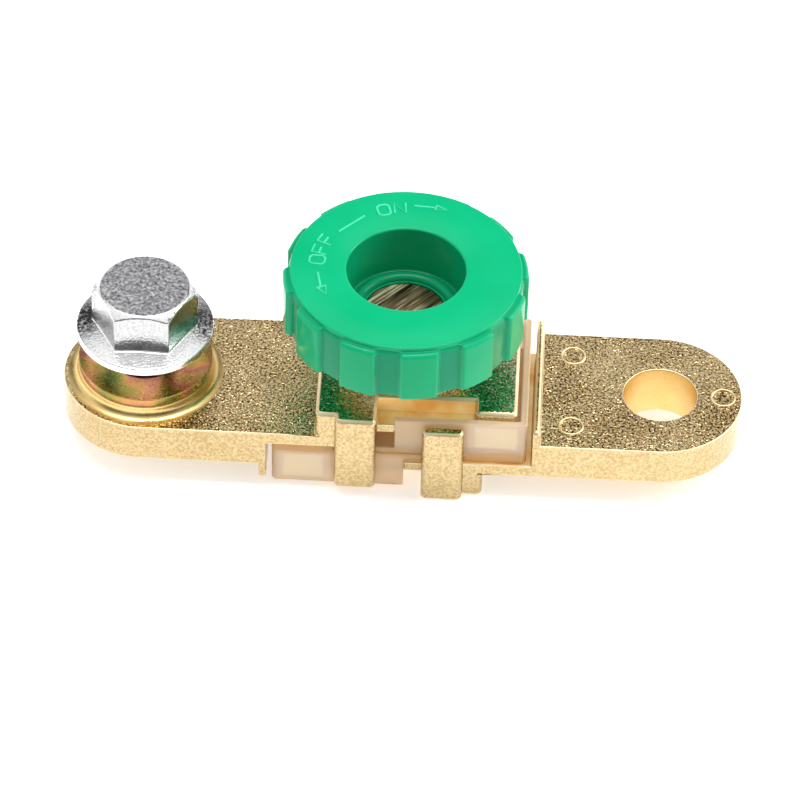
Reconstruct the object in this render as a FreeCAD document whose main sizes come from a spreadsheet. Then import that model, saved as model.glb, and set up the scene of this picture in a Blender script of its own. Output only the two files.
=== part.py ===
import FreeCAD, Part
import os
import re
import Sketcher

# Battery terminal disconnect switch with a screw knob.
# Two like castings face each other, one turned over, with an insulating tray round each block.
# Z = 0 is the surface the lower casting stands on, and the knob turns about X = Y = 0.

# Driving sizes in millimetres, with each casting measured from the middle plane outwards
SIZES = {
    "EyeReach": 39.05,
    "BarWidth": 24.9,
    "BarThickness": 6.4,
    "BarEnd": 20.0,
    "EyeBore": 11.1,
    "BossTop": 20.4,
    "BossRise": 2.1,
    "BossFoot": 1.6,
    "LipThickness": 1.1,
    "LipDrop": 2.9,
    "BlockReach": 7.9,
    "BlockNear": 12.7,
    "BlockFar": 17.6,
    "BlockWidth": 21.6,
    "WaistWidth": 15.6,
    "WaistFar": 11.2,
    "SlabTop": 4.7,
    "SlabThickness": 1.64,
    "TabOuter": 9.7,
    "TabWidth": 6.25,
    "TabThickness": 1.75,
    "TabTip": 6.1,
    "CornerRound": 0.9,
    "RimBevel": 0.5,
    "TipBevel": 0.4,
    "PinMark": 3.5,
    "PinMarkDepth": 0.12,
    "PinMarkReach": 25.7,
    "PinMarkSpread": 15.4,
    "PinMarkTip": 48.6,
    "TrayFloor": 1.1,
    "TrayWall": 1.07,
    "TrayFit": 0.13,
    "TrayEndGap": 0.5,
    "TrayRim": 6.82,
    "TrayStart": 0.73,
    "TrayCorner": 0.8,
    "TabGap": 0.1,
    "Pitch": 1.5,
    "Turns": 3,
    "ContactGap": 0.1,
    "ThreadWidth": 12.0,
    "ThreadFit": 0.05,
    "ThreadLength": 6.4,
    "ThreadLead": 1.0,
    "NeckWidth": 10.8,
    "SleeveFit": 0.1,
    "SleeveWidth": 13.8,
    "SleeveGap": 0.25,
    "SleeveShort": 0.2,
    "CollarWidth": 18.0,
    "CollarHeight": 4.8,
    "CollarLead": 0.5,
    "SpigotWidth": 12.3,
    "SpigotHeight": 0.7,
    "KnobHeight": 9.55,
    "KnobWidth": 36.8,
    "CapWidth": 34.6,
    "CapHeight": 0.8,
    "CapBevel": 0.3,
    "Grips": 12,
    "GripDepth": 0.8,
    "GripTurn": 24,
    "ValleyWidth": 3.4,
    "ValleyFlare": 2.2,
    "GripRound": 0.4,
    "RecessWidth": 17.76,
    "WebHeight": 1.0,
    "CoreInner": 21.4,
    "CoreOuter": 31.4,
    "CoreRoof": 2.2,
    "Ribs": 8,
    "RibThickness": 1.6,
    "WasherWidth": 20.3,
    "WasherThickness": 1.46,
    "WasherBore": 10.6,
    "ShankWidth": 9.8,
    "ShankLength": 19.8,
    "ShankLead": 0.8,
    "FlangeWidth": 20.7,
    "FlangeEdge": 1.35,
    "FlangeRise": 0.6,
    "HexFlats": 14.0,
    "HeadHeight": 8.8,
    "HeadCircle": 13.3,
    "HeadSlope": 0.78,
}

# Sizes that follow from the driving ones
DERIVED = {
    "HalfBar": "BarWidth / 2",
    "HalfThick": "BarThickness / 2",
    "HalfBlock": "BlockWidth / 2",
    "HalfWaist": "WaistWidth / 2",
    "TabInner": "TabOuter - TabWidth",
    "TrayInside": "BlockWidth / 2 + TrayFit",
    "TrayOutside": "TrayInside + TrayWall",
    "TrayEndIn": "BlockFar + TrayEndGap",
    "TrayEndOut": "TrayEndIn + TrayWall",
    "TabFaceIn": "TrayOutside + TabGap",
    "TabFaceOut": "TabFaceIn + TabThickness",
    "SleeveBore": "SleeveWidth / 2 + SleeveGap",
    "CollarFoot": "BlockReach + Pitch * Turns + ContactGap",
    "SleeveLength": "BlockReach + TrayFloor - SleeveShort",
    "NeckFoot": "CollarFoot - SleeveLength - SleeveShort",
    "KnobFoot": "CollarFoot + CollarHeight",
    "KnobTop": "KnobFoot + KnobHeight",
    "GripTop": "KnobTop - CapHeight",
    "HexCorner": "HexFlats / sqrt(3)",
}

doc = FreeCAD.newDocument("disconnect_switch")
sheet = doc.addObject("Spreadsheet::Sheet", "Sizes")
for row, (name, value) in enumerate(SIZES.items(), start=1):
    sheet.set(f"A{row}", name)
    sheet.set(f"B{row}", str(value))
    sheet.setAlias(f"B{row}", name)
for row, (name, formula) in enumerate(DERIVED.items(), start=1):
    sheet.set(f"D{row}", name)
    sheet.set(f"E{row}", f"={formula}")
    sheet.setAlias(f"E{row}", name)
doc.recompute()


def bound(words):
    """The same expression with each size's name pointing at its cell in the sheet."""
    return re.sub(r"[A-Z][A-Za-z]+", lambda found: f"Sizes.{found.group(0)}", words)


def number(words):
    """The present value of an expression, in millimetres."""
    value = sheet.evalExpression(bound(words))
    return float(getattr(value, "Value", value))


# Sketches
def new_body(label):
    body = doc.addObject("PartDesign::Body", label)
    body.Label = label
    return body


def new_sketch(body, name, plane="XY_Plane", height="0"):
    sketch = body.newObject("Sketcher::SketchObject", name)
    for feature in body.Origin.OriginFeatures:
        if feature.Role == plane:
            sketch.AttachmentSupport = [(feature, "")]
    sketch.MapMode = "FlatFace"
    sketch.setExpression("AttachmentOffset.Base.z", bound(height))
    return sketch


def pin_point(sketch, geometry, end, across, up):
    """Tie one point of a sketch to a place given by two expressions."""
    for kind, words, axis in (("DistanceX", across, -2), ("DistanceY", up, -1)):
        if words == "0":
            sketch.addConstraint(Sketcher.Constraint("PointOnObject", geometry, end, axis))
        else:
            distance = Sketcher.Constraint(kind, -1, 1, geometry, end, number(words))
            index = sketch.addConstraint(distance)
            sketch.setExpression(f"Constraints[{index}]", bound(words))


def draw_outline(sketch, points):
    """A closed outline of straight lines through the given points."""
    places = [FreeCAD.Vector(number(across), number(up), 0) for across, up in points]
    first = sketch.GeometryCount
    count = len(points)
    for i in range(count):
        sketch.addGeometry(Part.LineSegment(places[i], places[(i + 1) % count]), False)
    for i in range(count):
        following = first + (i + 1) % count
        sketch.addConstraint(Sketcher.Constraint("Coincident", first + i, 2, following, 1))
    for i, (across, up) in enumerate(points):
        pin_point(sketch, first + i, 1, across, up)


def draw_rectangle(sketch, left, right, low, high):
    draw_outline(sketch, [(left, low), (right, low), (right, high), (left, high)])


def draw_circle(sketch, radius, across="0", up="0"):
    centre = FreeCAD.Vector(number(across), number(up), 0)
    circle = Part.Circle(centre, FreeCAD.Vector(0, 0, 1), number(radius))
    index = sketch.addGeometry(circle, False)
    pin_point(sketch, index, 3, across, up)
    size = sketch.addConstraint(Sketcher.Constraint("Radius", index, number(radius)))
    sketch.setExpression(f"Constraints[{size}]", bound(radius))


# Features
def pad(body, sketch, length):
    feature = body.newObject("PartDesign::Pad", f"{sketch.Name}_pad")
    feature.Profile = sketch
    feature.setExpression("Length", bound(length))
    return feature


def pocket(body, sketch, length):
    """Cut upwards from the sketch."""
    feature = body.newObject("PartDesign::Pocket", f"{sketch.Name}_pocket")
    feature.Profile = sketch
    feature.setExpression("Length", bound(length))
    feature.Reversed = True
    return feature


def turned(body, sketch, kind="Revolution"):
    """Turn a profile, drawn upright beside the vertical axis, once round that axis."""
    feature = body.newObject(f"PartDesign::{kind}", f"{sketch.Name}_turned")
    feature.Profile = sketch
    feature.ReferenceAxis = (sketch, ["V_Axis"])
    feature.Angle = 360
    return feature


def dress_edges(body, name, kind, size, wanted):
    """Round or bevel every edge of the body so far that passes the test."""
    doc.recompute()
    base = body.Tip
    names = [f"Edge{i}" for i, edge in enumerate(base.Shape.Edges, start=1) if wanted(edge)]
    feature = body.newObject(f"PartDesign::{kind}", name)
    feature.Base = (base, names)
    feature.setExpression("Radius" if kind == "Fillet" else "Size", bound(size))
    feature.Refine = False
    return feature


def round_edges(body, name, radius, wanted):
    return dress_edges(body, name, "Fillet", radius, wanted)


def bevel_edges(body, name, width, wanted):
    return dress_edges(body, name, "Chamfer", width, wanted)


def repeat_round(body, sketch, feature, copies):
    """Repeat a feature round the vertical axis."""
    pattern = body.newObject("PartDesign::PolarPattern", f"{feature.Name}_round")
    pattern.Originals = [feature]
    pattern.Axis = (sketch, ["N_Axis"])
    pattern.Angle = 360
    pattern.setExpression("Occurrences", bound(copies))
    body.Tip = pattern
    return pattern


def near(value, target):
    return abs(value - target) < 0.01


def is_upright(edge):
    box = edge.BoundBox
    return near(box.XLength, 0) and near(box.YLength, 0) and box.ZLength > 0.01


def is_level_at(edge, height):
    box = edge.BoundBox
    return near(box.ZMin, height) and near(box.ZMax, height)


def is_ring_at(edge, height, radius):
    return is_level_at(edge, height) and near(getattr(edge.Curve, "Radius", 0), radius)


# Castings
def casting_bar(body, label):
    """The thick bar with its round end, the thin flange, and the lip that hangs between them."""
    bar = new_sketch(body, f"{label}_bar", height="-HalfThick")
    draw_rectangle(bar, "-EyeReach", "-BarEnd", "-HalfBar", "HalfBar")
    pad(body, bar, "BarThickness")

    end = new_sketch(body, f"{label}_end", height="-HalfThick")
    draw_circle(end, "HalfBar", "-EyeReach")
    pad(body, end, "BarThickness")

    flange = new_sketch(body, f"{label}_flange", height="TrayFloor")
    draw_rectangle(flange, "-BarEnd", "-BlockNear", "-HalfBar", "HalfBar")
    pad(body, flange, "HalfThick - TrayFloor")

    lip = new_sketch(body, f"{label}_lip", height="-HalfThick - LipDrop")
    draw_rectangle(lip, "-BarEnd - LipThickness", "-BarEnd", "-HalfBar", "HalfBar")
    pad(body, lip, "LipDrop")

    boss = new_sketch(body, f"{label}_boss", height="HalfThick")
    draw_circle(boss, "BossTop / 2", "-EyeReach")
    pad(body, boss, "BossRise")
    foot = number("HalfThick")
    radius = number("BossTop / 2")
    bevel_edges(body, f"{label}_boss_foot", "BossFoot", lambda edge: is_ring_at(edge, foot, radius))


def casting_block(body, label):
    """The raised block: shoulder, heel with its two tabs, waist with its slab, and head."""
    steps = [("shoulder", "-BlockNear", "-TabOuter", "HalfBar"),
             ("heel", "-TabOuter", "-TabInner", "TabFaceOut"),
             ("waist", "-TabInner", "WaistFar", "HalfWaist"),
             ("head", "WaistFar", "BlockFar", "HalfBlock")]
    for name, left, right, half in steps:
        step = new_sketch(body, f"{label}_{name}", height="TrayFloor")
        draw_rectangle(step, left, right, f"-{half}", half)
        pad(body, step, "BlockReach - TrayFloor")

    slab = new_sketch(body, f"{label}_slab", height="SlabTop - SlabThickness")
    draw_rectangle(slab, "-TabInner", "WaistFar", "-HalfBlock", "HalfBlock")
    pad(body, slab, "SlabThickness")

    for side, low, high in (("front", "-TabFaceOut", "-TabFaceIn"), ("rear", "TabFaceIn", "TabFaceOut")):
        tab = new_sketch(body, f"{label}_{side}_tab", height="-TabTip")
        draw_rectangle(tab, "-TabOuter", "-TabInner", low, high)
        pad(body, tab, "TabTip + TrayFloor")


def round_casting(body, label):
    """Round the block's outward corners, then bevel its top rim and the tips of the tabs."""
    top = number("BlockReach")
    tip = -number("TabTip")
    outward = [(-number("BlockNear"), number("HalfBar")), (-number("TabOuter"), number("TabFaceOut")),
               (-number("TabInner"), number("TabFaceOut")), (number("WaistFar"), number("HalfBlock")),
               (number("BlockFar"), number("HalfBlock"))]

    def is_outward_corner(edge):
        box = edge.BoundBox
        if not is_upright(edge) or not near(box.ZMax, top):
            return False
        return any(near(box.XMin, x) and near(abs(box.YMin), y) for x, y in outward)

    round_edges(body, f"{label}_corners", "CornerRound", is_outward_corner)
    bevel_edges(body, f"{label}_rim", "RimBevel", lambda edge: is_level_at(edge, top))
    bevel_edges(body, f"{label}_tips", "TipBevel", lambda edge: is_level_at(edge, tip))


def casting(label, centre_bore):
    """One casting, with its eye towards -X and its block on top."""
    body = new_body(label)
    casting_bar(body, label)
    casting_block(body, label)
    round_casting(body, label)

    eye = new_sketch(body, f"{label}_eye", height="-HalfThick")
    draw_circle(eye, "EyeBore / 2", "-EyeReach")
    pocket(body, eye, "BarThickness + BossRise")

    centre = new_sketch(body, f"{label}_centre", height="TrayFloor")
    draw_circle(centre, centre_bore)
    pocket(body, centre, "BlockReach - TrayFloor")

    # shallow round marks left by the mould's ejector pins on the bar's inner face
    marks = new_sketch(body, f"{label}_pin_marks", height="-HalfThick")
    for across, up in (("-PinMarkReach", "PinMarkSpread / 2"),
                       ("-PinMarkReach", "-PinMarkSpread / 2"),
                       ("-PinMarkTip", "0")):
        draw_circle(marks, "PinMark / 2", across, up)
    pocket(body, marks, "PinMarkDepth")
    body.setExpression("Placement.Base.z", bound("BlockReach"))
    return body


# Insulating trays
def tray_wall(body, name, start, height, length):
    """A wall round three sides of a tray, open towards its casting's eye."""
    wall = new_sketch(body, name, height=height)
    draw_outline(wall, [
        (start, "-TrayOutside"), ("TrayEndOut", "-TrayOutside"),
        ("TrayEndOut", "TrayOutside"), (start, "TrayOutside"),
        (start, "TrayInside"), ("TrayEndIn", "TrayInside"),
        ("TrayEndIn", "-TrayInside"), (start, "-TrayInside")])
    pad(body, wall, length)


def insulator(label):
    """A tray round the free end of a block, its floor lying on the middle plane."""
    body = new_body(label)
    floor = new_sketch(body, f"{label}_floor")
    draw_rectangle(floor, "-TabOuter", "TrayEndOut", "-TrayOutside", "TrayOutside")
    pad(body, floor, "TrayFloor")

    tongue = new_sketch(body, f"{label}_tongue")
    draw_rectangle(tongue, "-BlockNear + TabGap", "-TabOuter", "-HalfBlock", "HalfBlock")
    pad(body, tongue, "TrayFloor")

    tray_wall(body, f"{label}_wall", "-TrayStart", "TrayFloor", "TrayRim - TrayFloor")
    tray_wall(body, f"{label}_skirt", "TabOuter + TabGap", "-TrayFloor", "TrayFloor")

    far = number("TrayEndOut")
    side = number("TrayOutside")
    round_edges(body, f"{label}_corners", "TrayCorner",
                lambda edge: is_upright(edge) and near(edge.BoundBox.XMin, far)
                and near(abs(edge.BoundBox.YMin), side))

    bore = new_sketch(body, f"{label}_bore")
    draw_circle(bore, "SleeveBore")
    pocket(body, bore, "TrayFloor")
    body.setExpression("Placement.Base.z", bound("BlockReach"))
    return body


# Contact screw and its sleeve
def contact_screw():
    """Spigot held in the knob, contact collar, neck, and the thread left as a plain round."""
    body = new_body("contact_screw")
    profile = new_sketch(body, "contact_screw_profile", "XZ_Plane")
    draw_outline(profile, [
        ("0", "NeckFoot - ThreadLength"),
        ("ThreadWidth / 2 - ThreadLead", "NeckFoot - ThreadLength"),
        ("ThreadWidth / 2", "NeckFoot - ThreadLength + ThreadLead"),
        ("ThreadWidth / 2", "NeckFoot"),
        ("NeckWidth / 2", "NeckFoot"),
        ("NeckWidth / 2", "CollarFoot"),
        ("CollarWidth / 2 - CollarLead", "CollarFoot"),
        ("CollarWidth / 2", "CollarFoot + CollarLead"),
        ("CollarWidth / 2", "KnobFoot"),
        ("SpigotWidth / 2", "KnobFoot"),
        ("SpigotWidth / 2", "KnobFoot + SpigotHeight"),
        ("0", "KnobFoot + SpigotHeight")])
    turned(body, profile)
    body.setExpression("Placement.Base.z", bound("BlockReach"))
    return body


def neck_sleeve():
    """Plastic sleeve round the neck, which keeps it off the upper casting's bore."""
    body = new_body("neck_sleeve")
    ring = new_sketch(body, "neck_sleeve_ring", height="CollarFoot - SleeveLength")
    draw_circle(ring, "SleeveWidth / 2")
    draw_circle(ring, "NeckWidth / 2 + SleeveFit")
    pad(body, ring, "SleeveLength")
    body.setExpression("Placement.Base.z", bound("BlockReach"))
    return body


# Knob
def knob_grip(body):
    """Round grip with shallow valleys between its pads, and a low cap on top."""
    grip = new_sketch(body, "knob_grip", height="KnobFoot")
    draw_circle(grip, "KnobWidth / 2")
    pad(body, grip, "KnobHeight - CapHeight")

    valley = new_sketch(body, "knob_valley", height="KnobFoot")
    floor = "-KnobWidth / 2 + GripDepth"
    brim = "-KnobWidth / 2 - GripDepth"
    draw_outline(valley, [
        ("-ValleyWidth / 2", floor), ("-ValleyWidth / 2 - ValleyFlare", brim),
        ("ValleyWidth / 2 + ValleyFlare", brim), ("ValleyWidth / 2", floor)])
    doc.recompute()
    repeat_round(body, valley, pocket(body, valley, "KnobHeight - CapHeight"), "Grips")
    round_edges(body, "knob_grip_round", "GripRound", is_upright)

    shoulder = new_sketch(body, "knob_shoulder", "XZ_Plane")
    draw_outline(shoulder, [
        ("CapWidth / 2 + CapBevel", "GripTop + CapBevel"),
        ("KnobWidth / 2 + CapBevel", "GripTop + CapBevel"),
        ("KnobWidth / 2 + CapBevel", "GripTop - GripDepth")])
    turned(body, shoulder, "Groove")

    cap = new_sketch(body, "knob_cap", height="GripTop")
    draw_circle(cap, "CapWidth / 2")
    pad(body, cap, "CapHeight")


def knob():
    """Moulded knob with a deep round recess above the screw and a ribbed underside."""
    body = new_body("knob")
    knob_grip(body)

    recess = new_sketch(body, "knob_recess", height="KnobFoot + WebHeight")
    draw_circle(recess, "RecessWidth / 2")
    pocket(body, recess, "KnobHeight - WebHeight")
    top = number("KnobTop")
    bevel_edges(body, "knob_brims", "CapBevel", lambda edge: is_level_at(edge, top))

    seat = new_sketch(body, "knob_seat", height="KnobFoot")
    draw_circle(seat, "SpigotWidth / 2")
    pocket(body, seat, "WebHeight")

    core = new_sketch(body, "knob_core", height="KnobFoot")
    draw_circle(core, "CoreInner / 2")
    draw_circle(core, "CoreOuter / 2")
    pocket(body, core, "KnobHeight - CoreRoof")

    rib = new_sketch(body, "knob_rib", height="KnobFoot")
    draw_rectangle(rib, "CoreInner / 2 - RibThickness / 2", "CoreOuter / 2 + RibThickness / 2",
                   "-RibThickness / 2", "RibThickness / 2")
    doc.recompute()
    repeat_round(body, rib, pad(body, rib, "KnobHeight - CoreRoof"), "Ribs")
    body.setExpression("Placement.Base.z", bound("BlockReach"))
    body.setExpression("Placement.Rotation.Angle", bound("GripTurn"))
    return body


# Washer and terminal bolt
def washer():
    body = new_body("washer")
    ring = new_sketch(body, "washer_ring")
    draw_circle(ring, "WasherWidth / 2")
    draw_circle(ring, "WasherBore / 2")
    pad(body, ring, "WasherThickness")
    body.setExpression("Placement.Base.x", bound("-EyeReach"))
    body.setExpression("Placement.Base.z", bound("BlockReach + HalfThick + BossRise"))
    return body


def terminal_bolt():
    """Hexagon bolt with a wide flange, standing on the end of its shank in the eye."""
    body = new_body("terminal_bolt")
    profile = new_sketch(body, "terminal_bolt_profile", "XZ_Plane")
    draw_outline(profile, [
        ("0", "0"),
        ("ShankWidth / 2 - ShankLead", "0"),
        ("ShankWidth / 2", "ShankLead"),
        ("ShankWidth / 2", "ShankLength"),
        ("FlangeWidth / 2", "ShankLength"),
        ("FlangeWidth / 2", "ShankLength + FlangeEdge"),
        ("HexFlats / 2", "ShankLength + FlangeEdge + FlangeRise"),
        ("0", "ShankLength + FlangeEdge + FlangeRise")])
    turned(body, profile)

    hexagon = new_sketch(body, "terminal_bolt_hexagon", height="ShankLength + FlangeEdge")
    draw_outline(hexagon, [
        ("HexCorner", "0"), ("HexCorner / 2", "HexFlats / 2"), ("-HexCorner / 2", "HexFlats / 2"),
        ("-HexCorner", "0"), ("-HexCorner / 2", "-HexFlats / 2"), ("HexCorner / 2", "-HexFlats / 2")])
    pad(body, hexagon, "HeadHeight - FlangeEdge")

    crown = new_sketch(body, "terminal_bolt_crown", "XZ_Plane")
    draw_outline(crown, [
        ("HeadCircle / 2", "ShankLength + HeadHeight"),
        ("HexCorner + ShankLead", "ShankLength + HeadHeight"),
        ("HexCorner + ShankLead",
         "ShankLength + HeadHeight - HeadSlope * (HexCorner + ShankLead - HeadCircle / 2)")])
    turned(body, crown, "Groove")
    body.setExpression("Placement.Base.x", bound("-EyeReach"))
    return body


# The whole switch
upper = casting("casting_bolt_side", "SleeveBore")
lower = casting("casting_cable_side", "ThreadWidth / 2 + ThreadFit")
upper_tray = insulator("insulator_upper")
lower_tray = insulator("insulator_lower")
parts = [upper, lower, upper_tray, lower_tray, contact_screw(), neck_sleeve(), knob(), washer(),
         terminal_bolt()]

# the lower casting and tray are the upper ones turned over about the Y axis
for body in (lower, lower_tray):
    body.Placement.Rotation = FreeCAD.Rotation(FreeCAD.Vector(0, 1, 0), 180)
doc.recompute()

for item in doc.Objects:
    if "Invalid" in item.State or "Error" in item.State:
        raise RuntimeError(f"{item.Label} did not compute: {item.State}")
for body in parts:
    if body.Shape.isNull() or not body.Shape.isValid() or len(body.Shape.Solids) != 1:
        raise RuntimeError(f"{body.Label} is not one valid solid")

os.makedirs("parts", exist_ok=True)
for body in parts:
    body.Shape.exportStep(f"parts/{body.Label}.step")
    box = body.Shape.BoundBox
    print(f"{body.Label}: {body.Shape.Volume:.0f} mm3, "
          f"x {box.XMin:.2f} to {box.XMax:.2f}, y {box.YMin:.2f} to {box.YMax:.2f}, "
          f"z {box.ZMin:.2f} to {box.ZMax:.2f}")
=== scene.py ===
# %% [markdown]
# # Dressing a battery disconnect switch
#
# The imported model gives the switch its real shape: two plated castings, two milky trays, a green
# screw knob, a washer and a flange bolt. This script adds what a photograph shows beyond that:
# soft edges, threads, raised lettering, and the finish of every surface. The model is loaded
# first and never moved, so each new piece goes where the construction says.

import math

import bpy
from mathutils import Matrix, Vector


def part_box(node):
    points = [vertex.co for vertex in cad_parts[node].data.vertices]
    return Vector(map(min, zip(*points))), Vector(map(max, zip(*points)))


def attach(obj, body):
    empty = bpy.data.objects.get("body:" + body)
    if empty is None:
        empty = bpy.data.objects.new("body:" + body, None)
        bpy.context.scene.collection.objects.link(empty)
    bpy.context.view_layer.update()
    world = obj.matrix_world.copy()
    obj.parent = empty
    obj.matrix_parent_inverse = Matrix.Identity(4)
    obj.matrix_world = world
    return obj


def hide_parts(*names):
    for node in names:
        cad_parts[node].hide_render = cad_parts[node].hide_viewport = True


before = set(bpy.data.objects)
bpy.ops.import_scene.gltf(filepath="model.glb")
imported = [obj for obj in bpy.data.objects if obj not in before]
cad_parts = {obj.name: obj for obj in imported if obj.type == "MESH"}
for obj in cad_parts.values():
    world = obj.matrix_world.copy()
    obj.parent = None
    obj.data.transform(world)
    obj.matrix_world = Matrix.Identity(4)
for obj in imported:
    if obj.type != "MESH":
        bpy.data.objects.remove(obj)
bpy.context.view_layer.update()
MM = 0.001
print("nodes:", sorted(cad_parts))

# %% [markdown]
# ## The camera
#
# The photograph was taken from in front and above with a long lens, so upright edges stay nearly
# parallel. The camera could be placed by eye, but here its direction is written as three turns:
# a little to the left, 44 degrees down, and a slight roll. Its axes follow from them.

# %% Set the camera
CAMERA_PLACE = (0.01538, -0.59682, 0.58417)
CAMERA_TURNS = (-1.511, 44.009, 1.664)
FOCAL_LENGTH = 245.44


def aim_camera():
    """Makes the camera and turns it to the object."""
    yaw, pitch, roll = (math.radians(turn) for turn in CAMERA_TURNS)
    forward = Vector((math.sin(yaw) * math.cos(pitch), math.cos(yaw) * math.cos(pitch),
                      -math.sin(pitch)))
    level = Vector((math.cos(yaw), -math.sin(yaw), 0))
    above = level.cross(forward)
    right = math.cos(roll) * level + math.sin(roll) * above
    up = math.cos(roll) * above - math.sin(roll) * level
    lens = bpy.data.cameras.new("product_camera")
    lens.sensor_width = 36
    lens.lens = FOCAL_LENGTH
    lens.clip_start = 0.05
    camera = bpy.data.objects.new("product_camera", lens)
    bpy.context.collection.objects.link(camera)
    turn = Matrix((right, up, -forward)).transposed().to_4x4()
    camera.matrix_world = Matrix.Translation(CAMERA_PLACE) @ turn
    bpy.context.scene.camera = camera
    print("camera at", CAMERA_PLACE, "with a lens of", FOCAL_LENGTH, "mm")


aim_camera()

# %% [markdown]
# ## Working by hand, in code
#
# Every operator acts on what is selected. These helpers select one piece, or some of its points
# or faces by their place, as a modeller would by clicking.


# %% Helpers for selecting
def only(piece):
    """Makes one piece the only selected and active one."""
    if bpy.context.object and bpy.context.object.mode != "OBJECT":
        bpy.ops.object.mode_set(mode="OBJECT")
    bpy.ops.object.select_all(action="DESELECT")
    piece.select_set(True)
    bpy.context.view_layer.objects.active = piece


def choose(piece, kind, wanted):
    """Selects the piece's vertices, edges or faces that pass the test, and stays in edit mode."""
    only(piece)
    bpy.ops.object.mode_set(mode="EDIT")
    bpy.ops.mesh.select_mode(type=kind)
    bpy.ops.mesh.select_all(action="DESELECT")
    bpy.ops.object.mode_set(mode="OBJECT")
    mesh = piece.data
    for part in {"VERT": mesh.vertices, "EDGE": mesh.edges, "FACE": mesh.polygons}[kind]:
        part.select = bool(wanted(part))
    bpy.ops.object.mode_set(mode="EDIT")


def apply_modifier(piece, kind, **settings):
    """Adds one modifier with these settings and applies it."""
    only(piece)
    modifier = piece.modifiers.new(kind.lower(), kind)
    for name, value in settings.items():
        setattr(modifier, name, value)
    bpy.ops.object.modifier_apply(modifier=modifier.name)


def settle(piece):
    """Puts the piece's place into its mesh, so that its object sits at the origin."""
    only(piece)
    bpy.ops.object.transform_apply(location=True, rotation=True, scale=True)


def copy_moved(piece, name, move):
    """A copy of a piece with a mesh of its own, moved or turned by a matrix."""
    copy = bpy.data.objects.new(name, piece.data.copy())
    bpy.context.collection.objects.link(copy)
    copy.data.transform(move)
    return copy


def join(first, others):
    """Joins other pieces to the first."""
    only(first)
    for other in others:
        other.select_set(True)
    bpy.ops.object.join()


# %% [markdown]
# ## Soft edges
#
# No real edge is sharp. A die casting leaves its mould with edges of about a fifth of a
# millimetre, a moulding with less. Rounding them in the construction would cost it thousands of
# faces, so each solid is copied here, its triangles are merged into whole faces again, and its
# sharp edges are bevelled. A face can't have a hole, so a cut is laid through every bore first
# and marked as a seam, which the merging keeps. Weighted normals keep the flats flat.


# %% Copy a solid and round its edges
def copy_solid(node, name, cuts=(0.0,)):
    """A copy of a node's mesh in whole faces, cut along these places on Y, in millimetres."""
    piece = bpy.data.objects.new(name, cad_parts[node].data.copy())
    bpy.context.collection.objects.link(piece)
    choose(piece, "VERT", lambda v: True)
    bpy.ops.mesh.remove_doubles(threshold=0.002 * MM)
    for y in cuts:
        bpy.ops.mesh.select_all(action="SELECT")
        bpy.ops.mesh.bisect(plane_co=(0, y * MM, 0), plane_no=(0, 1, 0))
        bpy.ops.mesh.mark_seam(clear=False)
    bpy.ops.mesh.select_all(action="SELECT")
    bpy.ops.mesh.dissolve_limited(angle_limit=math.radians(0.4), delimit={"SEAM"})
    bpy.ops.object.mode_set(mode="OBJECT")
    if piece.data.has_custom_normals:
        bpy.ops.mesh.customdata_custom_splitnormals_clear()
    return piece


def soften(piece, radius, segments=3, least=25, spare=lambda middle: False):
    """Rounds the edges sharper than least degrees, but for those whose middle is to be spared."""
    only(piece)
    bpy.ops.object.mode_set(mode="EDIT")
    bpy.ops.mesh.select_mode(type="EDGE")
    bpy.ops.mesh.select_all(action="DESELECT")
    bpy.ops.mesh.edges_select_sharp(sharpness=math.radians(least))
    bpy.ops.object.mode_set(mode="OBJECT")
    places = piece.data.vertices
    sharp = {edge.index for edge in piece.data.edges if edge.select
             and not spare((places[edge.vertices[0]].co + places[edge.vertices[1]].co) / 2)}
    choose(piece, "EDGE", lambda edge: edge.index in sharp)
    bpy.ops.mesh.bevel(offset=radius, segments=segments, affect="EDGES", clamp_overlap=False,
                       miter_outer="ARC")
    bpy.ops.object.mode_set(mode="OBJECT")
    bpy.ops.object.shade_smooth()
    apply_modifier(piece, "WEIGHTED_NORMAL", weight=50, keep_sharp=False)


def dress(piece, node, body, slot, *materials):
    """The finished piece stands for its node, rides on its body and takes its materials."""
    piece.data.materials.clear()
    for material in materials:
        piece.data.materials.append(material)
    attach(piece, body)
    if node:
        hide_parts(node)
    print(piece.name, len(piece.data.polygons), "faces")


# %% [markdown]
# ## Building a finish from nodes
#
# Each finish is a Principled shader whose colour, roughness and bump come from noise in the
# piece's own coordinates. These helpers add one node and join it up, so that a recipe reads
# like a list: a pattern, the colours it stands for, and how rough and how deep it is.


# %% Start a finish and give it a pattern
def new_finish(name):
    """An empty finish: the material, its nodes, its links, its shader and its coordinates."""
    material = bpy.data.materials.new(name)
    material.use_nodes = True
    nodes, links = material.node_tree.nodes, material.node_tree.links
    place = nodes.new("ShaderNodeTexCoord").outputs["Object"]
    print("finish", name)
    return material, nodes, links, nodes["Principled BSDF"], place


def add_noise(nodes, links, place, scale, detail=2.0, roughness=0.5, stretch=None, turn=0.0):
    """Noise of so many bumps to the metre, if wanted drawn out along axes turned about Z."""
    noise = nodes.new("ShaderNodeTexNoise")
    noise.inputs["Scale"].default_value = scale
    noise.inputs["Detail"].default_value = detail
    noise.inputs["Roughness"].default_value = roughness
    if stretch:
        mapping = nodes.new("ShaderNodeMapping")
        mapping.vector_type = "TEXTURE"
        mapping.inputs["Rotation"].default_value = (0, 0, turn)
        mapping.inputs["Scale"].default_value = stretch
        links.new(place, mapping.inputs["Vector"])
        place = mapping.outputs["Vector"]
    links.new(place, noise.inputs["Vector"])
    return noise.outputs["Fac"]


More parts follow.
